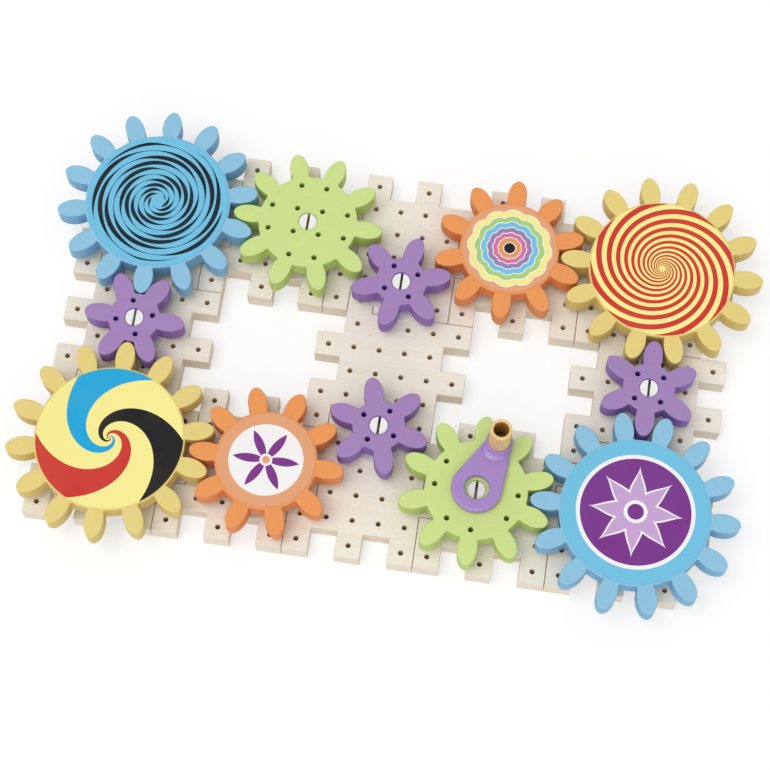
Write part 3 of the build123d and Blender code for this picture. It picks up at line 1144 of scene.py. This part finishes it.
@dataclass
class PetalGear:
    """A flat wooden gear with oval teeth, its bore and its peg holes or its printed disc."""

    name: str
    size: Size
    hole_turn: float | None = None
    print_finish: PrintedDisc | None = None
    petal_length: float = 10 * MM
    petal_width: float = 5.6 * MM
    bore_radius: float = 5.38 * MM
    bore_rim: float = 0.35 * MM
    hole_radius: float = 1.5 * MM
    hole_rim: float = 0.2 * MM
    pitch: float = 15 * MM
    edge_round: float = 1.0 * MM
    root_fillet: float = 1.1 * MM
    disc_round: float = 0.12 * MM
    weld: float = 0.01 * MM
    petal_steps: int = 28
    root_steps: int = 5
    bore_steps: int = 48
    hole_steps: int = 20
    disc_steps: int = 128

    def __post_init__(self) -> None:
        """Reads the axle, the teeth's reach and their phase from the frame's own gear."""
        self.axle = axle_place(self.name)
        vertices = frame["nodes"]["gear_" + self.name].data.vertices
        tip = max((vertex.co - self.axle for vertex in vertices),
                  key=lambda corner: hypot(corner.x, corner.y))
        self.tip_radius = hypot(tip.x, tip.y)
        self.root_radius = self.tip_radius - TOOTH_HEIGHTS[self.size]
        self.tooth_turn = atan2(tip.y, tip.x)

    def tooth(self) -> tuple[list[tuple[float, float, float]], float]:
        """One tooth along X and the blank's arc up to the next tooth.

        Returns:
            The outline's points, and the angle at which the tooth leaves the blank.
        """
        long, wide, root = self.petal_length, self.petal_width, self.root_radius
        middle = self.tip_radius - long
        spread = long ** 2 - wide ** 2
        inner = middle ** 2 + wide ** 2 - root ** 2
        meets = acos((sqrt((long * middle) ** 2 - spread * inner) - long * middle) / spread)
        foot = atan2(wide * sin(meets), middle + long * cos(meets))
        gap = tau / self.size.value - 2 * foot
        points = []
        for step in range(self.petal_steps + 1):
            turn = meets * (2 * step / self.petal_steps - 1)
            points.append((middle + long * cos(turn), wide * sin(turn), 0))
        for step in range(1, self.root_steps + 1):
            turn = foot + gap * step / self.root_steps
            points.append((root * cos(turn), root * sin(turn), 0))
        return points, foot

    def outline(self) -> BMesh:
        """The toothed outline as one flat face about the origin, its first tooth along X.

        Returns:
            The outline's mesh.
        """
        points, foot = self.tooth()
        teeth = self.size.value
        mesh = bmesh.new()
        corners = [mesh.verts.new(point) for point in points]
        chain = [mesh.edges.new(pair) for pair in zip(corners, corners[1:])]
        bmesh.ops.spin(mesh, geom=corners + chain, cent=(0, 0, 0), axis=(0, 0, 1), angle=tau,
                       steps=teeth, use_duplicate=True)
        bmesh.ops.remove_doubles(mesh, verts=mesh.verts, dist=self.weld)
        bmesh.ops.contextual_create(mesh, geom=list(mesh.edges))
        feet = []
        for corner in mesh.verts:
            angle = atan2(corner.co.y, corner.co.x) % (tau / teeth)
            if min(abs(angle - foot), abs(angle - (tau / teeth - foot))) < SAME_ANGLE:
                feet.append(corner)
        bmesh.ops.bevel(mesh, geom=feet, offset=self.root_fillet, offset_type="OFFSET",
                        segments=ROUND_STEPS, profile=0.5, affect="VERTICES", material=-1,
                        clamp_overlap=True)
        return mesh

    def holes(self) -> list[Hole]:
        """The bore and, on a gear without a disc, its peg holes.

        Returns:
            The holes about the origin.
        """
        made = [Hole(ORIGIN, self.bore_radius, self.bore_rim, self.bore_steps, 3)]
        if self.hole_turn is not None:
            turned = Matrix.Rotation(self.hole_turn, 3, "Z")
            for u, v in HOLE_CELLS[self.size]:
                for spot in four_corners(u * self.pitch / 2, v * self.pitch / 2):
                    made.append(Hole(turned @ spot, self.hole_radius, self.hole_rim,
                                     self.hole_steps, 2))
        return made

    def build(self) -> None:
        """Makes the gear and its disc, if it has one."""
        node = "gear_" + self.name
        low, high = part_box(node)
        mesh = self.outline()
        seat(mesh, ORIGIN, self.tooth_turn)
        raise_plate(mesh, low.z, high.z, self.edge_round)
        drill_plate(mesh, low.z, high.z, self.holes())
        seat(mesh, self.axle)
        colour = self.name.split("_")[0]
        paint = PAINTS[colour]
        # the paint puts painted shade on the gear's walls, and the hole walls take the paint's
        # darker wall tone, which is painted shade too
        finishes = [paint.material(node + "_paint", self.axle, self.tooth_turn),
                    DrilledWood(paint.wall).material(node + "_holes")]
        finished_piece(mesh, node, self.name + "_gear", finishes)
        if self.print_finish:
            self.build_disc()

    def build_disc(self) -> None:
        """Makes the printed disc on the gear's face."""
        node = "disc_" + self.name
        low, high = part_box(node)
        radius = (high.x - low.x) / 2
        mesh = bmesh.new()
        bmesh.ops.create_circle(mesh, cap_ends=True, segments=self.disc_steps, radius=radius)
        raise_plate(mesh, low.z, high.z, self.disc_round)
        seat(mesh, self.axle)
        finish = self.print_finish.material(node + "_print", self.axle, radius)
        finished_piece(mesh, node, self.name + "_gear", [finish])


def toy_gears() -> list[PetalGear]:
    """The twelve gears in the order in which they mesh, from the crank's round by the right.

    Returns:
        The gears.
    """
    def printed(name: str, size: Size, motif: Motif, ground: Colour, turn: float = 0) -> PetalGear:
        """A gear with a printed disc."""
        return PetalGear(name, size, print_finish=PrintedDisc(motif, ground, radians(turn)))

    small, medium, large = Size.SMALL, Size.MEDIUM, Size.LARGE
    return [
        PetalGear("green_crank", medium, radians(71.25)),
        printed("blue_front_right", large, Motif.STAR, PRINT_BLUE),
        PetalGear("purple_right", small, radians(88.75)),
        printed("yellow_back_right", large, Motif.SPIRAL, PRINT_YELLOW),
        printed("orange_back", medium, Motif.FLOWER_RINGS, PRINT_PEACH),
        PetalGear("purple_back", small, radians(76.25)),
        PetalGear("green_back", medium, radians(89.25)),
        printed("blue_back_left", large, Motif.WHIRL, PRINT_BLUE),
        PetalGear("purple_left", small, radians(58.75)),
        printed("yellow_front_left", large, Motif.PINWHEEL, PRINT_YELLOW, 95),
        printed("orange_front", medium, Motif.ROSETTE, PRINT_PEACH),
        PetalGear("purple_front", small, radians(16.25)),
    ]


# --- Crank ---
@dataclass
class Crank:
    """The teardrop arm over the green gear, its turned knob and the knob's screw."""

    gear: str = "green_crank"
    hub_radius: float = 14.4 * MM
    tip_radius: float = 7.4 * MM
    window_radius: float = 7.2 * MM
    window_rim: float = 0.6 * MM
    arm_thickness: float = 5 * MM
    arm_round: float = 1.3 * MM
    boss_radius: float = 7.0 * MM
    boss_wall: float = 1.0 * MM
    boss_sink: float = 0.8 * MM
    step_height: float = 0.8 * MM
    flare_reach: float = 4.0 * MM
    flare_levels: tuple[float, ...] = (0.15, 0.3, 0.5, 0.7, 0.85)
    flare_rise: float = 2.0
    flare_turn: float = 1.3
    lip_height: float = 1.9 * MM
    lip_slope: float = 0.35 * MM
    lip_reach: float = 0.7 * MM
    knob_bore: float = 4.4 * MM
    knob_floor: float = 4.0 * MM
    bore_margin: float = 0.05 * MM
    bore_rim: float = 0.6 * MM
    screw_radius: float = 1.9 * MM
    screw_head: float = 2.2 * MM
    arm_gap: float = 0.05 * MM
    knob_gap: float = 0.08 * MM
    pin_radius: float = 1.4 * MM
    pin_square: float = 15 * MM
    pin_root: float = 1 * MM
    hub_steps: int = 48
    tip_steps: int = 32
    window_steps: int = 56
    knob_steps: int = 72
    screw_steps: int = 40

    def __post_init__(self) -> None:
        """Finds the crank's axes and levels in the frame."""
        self.axle = axle_place(self.gear)
        self.knob_axis = axle_place("knob")
        self.bottom = top_of("gear_" + self.gear)
        self.top = self.bottom + self.arm_thickness
        away = self.knob_axis - self.axle
        self.throw = hypot(away.x, away.y)
        self.turn = atan2(away.y, away.x)

    def teardrop(self) -> BMesh:
        """The arm's outline about the origin, its knob end along X.

        Returns:
            The outline's mesh, one flat face.
        """
        lean = acos((self.hub_radius - self.tip_radius) / self.throw)
        mesh = bmesh.new()
        ends = ((0.0, self.hub_radius, lean, tau - 2 * lean, self.hub_steps),
                (self.throw, self.tip_radius, -lean, 2 * lean, self.tip_steps))
        corners = []
        for middle, radius, start, sweep, steps in ends:
            for step in range(steps + 1):
                turn = start + sweep * step / steps
                place = (middle + radius * cos(turn), radius * sin(turn), 0)
                corners.append(mesh.verts.new(place))
        mesh.faces.new(corners)
        return mesh

    def build_arm(self) -> None:
        """Makes the arm with its window, its collar and its pins."""
        mesh = self.teardrop()
        raise_plate(mesh, self.bottom, self.top, self.arm_round)
        window = Hole(ORIGIN, self.window_radius, self.window_rim, self.window_steps, 4)
        drill_plate(mesh, self.bottom, self.top, [window])
        for face in mesh.faces:
            face.material_index = OUTER
        join(mesh, self.collar())
        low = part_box("crank_arm")[0].z
        add_pegs(mesh, self.pin_square, self.pin_radius, low, self.bottom + self.pin_root)
        seat(mesh, self.axle, self.turn)
        finish = MouldedPlastic(tone(158, 126, 190), 0.3, 0.25).material("crank_purple")
        finished_piece(mesh, "crank_arm", self.gear + "_gear", [finish])

    def collar(self) -> BMesh:
        """The knob's boss: a lip over a hollow flare that ends in a low step towards the hub.

        Returns:
            The collar as a mesh of its own.
        """
        radius, lip = self.boss_radius, self.boss_radius + self.lip_reach
        bore = self.screw_radius + self.arm_gap
        sunk, step = self.top - self.boss_sink, self.top + self.step_height
        high = top_of("crank_arm")
        neck = high - self.lip_height
        rise = neck - step
        wall = [(radius, sunk, 0), (radius, step, 0.25 * MM)]
        wall += [(radius, step + rise * share, 0) for share in self.flare_levels]
        wall += [(radius, neck, 0.2 * MM), (lip, neck + self.lip_slope, 0.3 * MM),
                 (lip, high, 0.7 * MM), (bore, high, 0), (bore, sunk, 0)]
        mesh = bmesh.new()
        middle = Vector((self.throw, 0, 0))
        lathe(mesh, middle, softened(wall), self.knob_steps, closed=True)
        bmesh.ops.remove_doubles(mesh, verts=mesh.verts, dist=TINY)
        for corner in mesh.verts:
            off = corner.co - middle
            reach = hypot(off.x, off.y)
            if reach < radius - self.boss_wall or corner.co.z > neck:
                continue
            height = min(max((corner.co.z - step) / rise, 0.0), 1.0)
            towards_hub = max(0.0, -off.x / reach)
            flare = (self.flare_reach * (1 - height) ** self.flare_rise
                     * towards_hub ** self.flare_turn)
            corner.co.x += flare * off.x / reach
            corner.co.y += flare * off.y / reach
        return mesh

    def build_knob(self) -> None:
        """Makes the turned wooden sleeve, bored down to its floor."""
        low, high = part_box("crank_knob")
        radius = (high.x - low.x) / 2
        hole = self.screw_radius + self.knob_gap
        floor = low.z + self.knob_floor
        wall = [(hole, low.z, 0), (radius, low.z, 0.5 * MM), (radius, high.z, 0.8 * MM),
                (self.knob_bore, high.z, 0.5 * MM), (self.knob_bore, floor, 0.4 * MM),
                (hole, floor, 0)]
        mesh = bmesh.new()
        lathe(mesh, ORIGIN, softened(wall, 5), self.knob_steps, closed=True)
        for face in mesh.faces:
            middle = face.calc_center_median()
            inside = hypot(middle.x, middle.y) < self.knob_bore + self.bore_margin
            below = middle.z < high.z - self.bore_rim
            face.material_index = BORED if inside and below else OUTER
        seat(mesh, self.knob_axis)
        wood = VarnishedWood().material("knob_wood", self.knob_axis)
        # the bore's darker brown is partly the end grain's own tone and partly painted shade of the
        # deep bore
        bored = DrilledWood(tone(206, 156, 84)).material("knob_bore_wood")
        finished_piece(mesh, "crank_knob", "knob", [wood, bored])

    def build_screw(self) -> None:
        """Makes the knob's screw, a pan head on a plain shank."""
        low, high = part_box("knob_screw")
        head = (high.x - low.x) / 2
        neck = high.z - self.screw_head
        shape = [(0, low.z, 0), (self.screw_radius, low.z, 0.5 * MM), (self.screw_radius, neck, 0),
                 (head, neck, 0.2 * MM), (head, high.z - 0.1 * MM, 1.2 * MM), (0, high.z, 0)]
        mesh = bmesh.new()
        lathe(mesh, ORIGIN, softened(shape), self.screw_steps)
        seat(mesh, self.knob_axis)
        finish = ScrewSteel().material("screw_steel", self.knob_axis)
        finished_piece(mesh, "knob_screw", self.gear + "_gear", [finish])

    def build(self) -> None:
        """Makes the whole crank."""
        self.build_arm()
        self.build_knob()
        self.build_screw()


# --- Studio ---
def seen_directly(bench: Bench) -> Socket:
    """A mask that is 1 where the camera sees a surface itself or in gloss or glass.

    Args:
        bench: Bench of the material or world that it is for.

    Returns:
        The mask.
    """
    rays = bench.node("LightPath").outputs
    mirrored = bench.maths("MAXIMUM", rays["Is Glossy Ray"], rays["Is Transmission Ray"])
    return bench.maths("MAXIMUM", rays["Is Camera Ray"], mirrored)


def grey(level: float) -> Colour:
    """A linear grey."""
    return (level, level, level, 1.0)


@dataclass(frozen=True)
class SoftLight:
    """A wide soft light that shines evenly on the toy and the floor from one side."""

    name: str
    place: Vector
    spread: float
    strength: float

    def add(self) -> None:
        """Adds the light to the scene."""
        data = bpy.data.lights.new(self.name, "SUN")
        data.angle = self.spread
        data.energy = self.strength
        light = bpy.data.objects.new(self.name, data)
        light.location = self.place
        light.rotation_euler = (-self.place).to_track_quat("-Z", "Y").to_euler()
        bpy.context.scene.collection.objects.link(light)


@dataclass
class Studio:
    """The pale floor, the soft lights and the camera at the photograph's view."""

    camera_place: Vector = Vector((0.05817, -0.43499, 1.15305))
    camera_look: Vector = Vector((-0.04854, 0.34610, -0.93694))
    camera_right: Vector = Vector((0.98938, 0.14533, 0.0024))
    camera_lens: float = 97.73
    floor_size: float = 15.0
    floor_gap: float = 0.05 * MM
    floor_grey: float = 0.85
    floor_shown: float = 0.5
    world_strength: float = 0.6
    lights: tuple[SoftLight, ...] = (
        SoftLight("key", Vector((-0.7, -0.4, 2.3)), radians(38), 1.15),
        SoftLight("fill", Vector((0.3, -1.8, 1.5)), radians(60), 0.5))

    def add_camera(self) -> None:
        """Places the camera."""
        data = bpy.data.cameras.new("view")
        data.lens = self.camera_lens
        data.sensor_fit = "HORIZONTAL"
        data.clip_start = 0.01
        camera = bpy.data.objects.new("view", data)
        back = -self.camera_look.normalized()
        right = (self.camera_right - back * self.camera_right.dot(back)).normalized()
        turn = Matrix((right, back.cross(right), back)).transposed().to_4x4()
        camera.matrix_world = Matrix.Translation(self.camera_place) @ turn
        bpy.context.scene.collection.objects.link(camera)
        bpy.context.scene.camera = camera

    def add_floor(self) -> None:
        """Adds the pale floor, which shows white and keeps the toy's shadow."""
        mesh = bmesh.new()
        bmesh.ops.create_grid(mesh, x_segments=2, y_segments=2, size=self.floor_size)
        bmesh.ops.translate(mesh, vec=(0, 0, -self.floor_gap), verts=mesh.verts)
        data = bpy.data.meshes.new("floor")
        mesh.to_mesh(data)
        mesh.free()
        floor = bpy.data.objects.new("floor", data)
        bpy.context.scene.collection.objects.link(floor)
        paper = Surface("floor_paper")
        seen, shown = seen_directly(paper), grey(self.floor_shown)
        data.materials.append(paper.finish({
            "Base Color": paper.mix(seen, grey(self.floor_grey), shown),
            "Emission Color": paper.mix(seen, grey(0.0), shown), "Emission Strength": 1.0,
            "Roughness": 0.9, "Specular IOR Level": 0.0}))

    def add_world(self) -> None:
        """Lights everything evenly and shows a white backdrop."""
        world = bpy.data.worlds.new("studio")
        world.use_nodes = True
        bpy.context.scene.world = world
        bench = Bench(world.node_tree)
        paint = next(node for node in bench.tree.nodes if node.type == "BACKGROUND")
        paint.inputs["Color"].default_value = grey(1.0)
        strength = bench.between(seen_directly(bench), self.world_strength, 1.0)
        bench.feed(paint.inputs["Strength"], strength)

    def build(self) -> None:
        """Sets up the whole studio."""
        self.add_world()
        self.add_floor()
        for light in self.lights:
            light.add()
        self.add_camera()
        bpy.context.scene.view_settings.view_transform = "Standard"


def main() -> None:
    """Builds and dresses the toy in order, then sets up the studio."""
    logging.basicConfig(level=logging.INFO, format="%(message)s")
    PegBoards().build_all()
    moulding = MouldedPlastic(tone(233, 231, 227), 0.42).material("white_moulding")
    for gear in toy_gears():
        AxleBase(gear.name).build(moulding)
        gear.build()
    Crank().build()
    Studio().build()


if __name__ == "__main__":
    main()
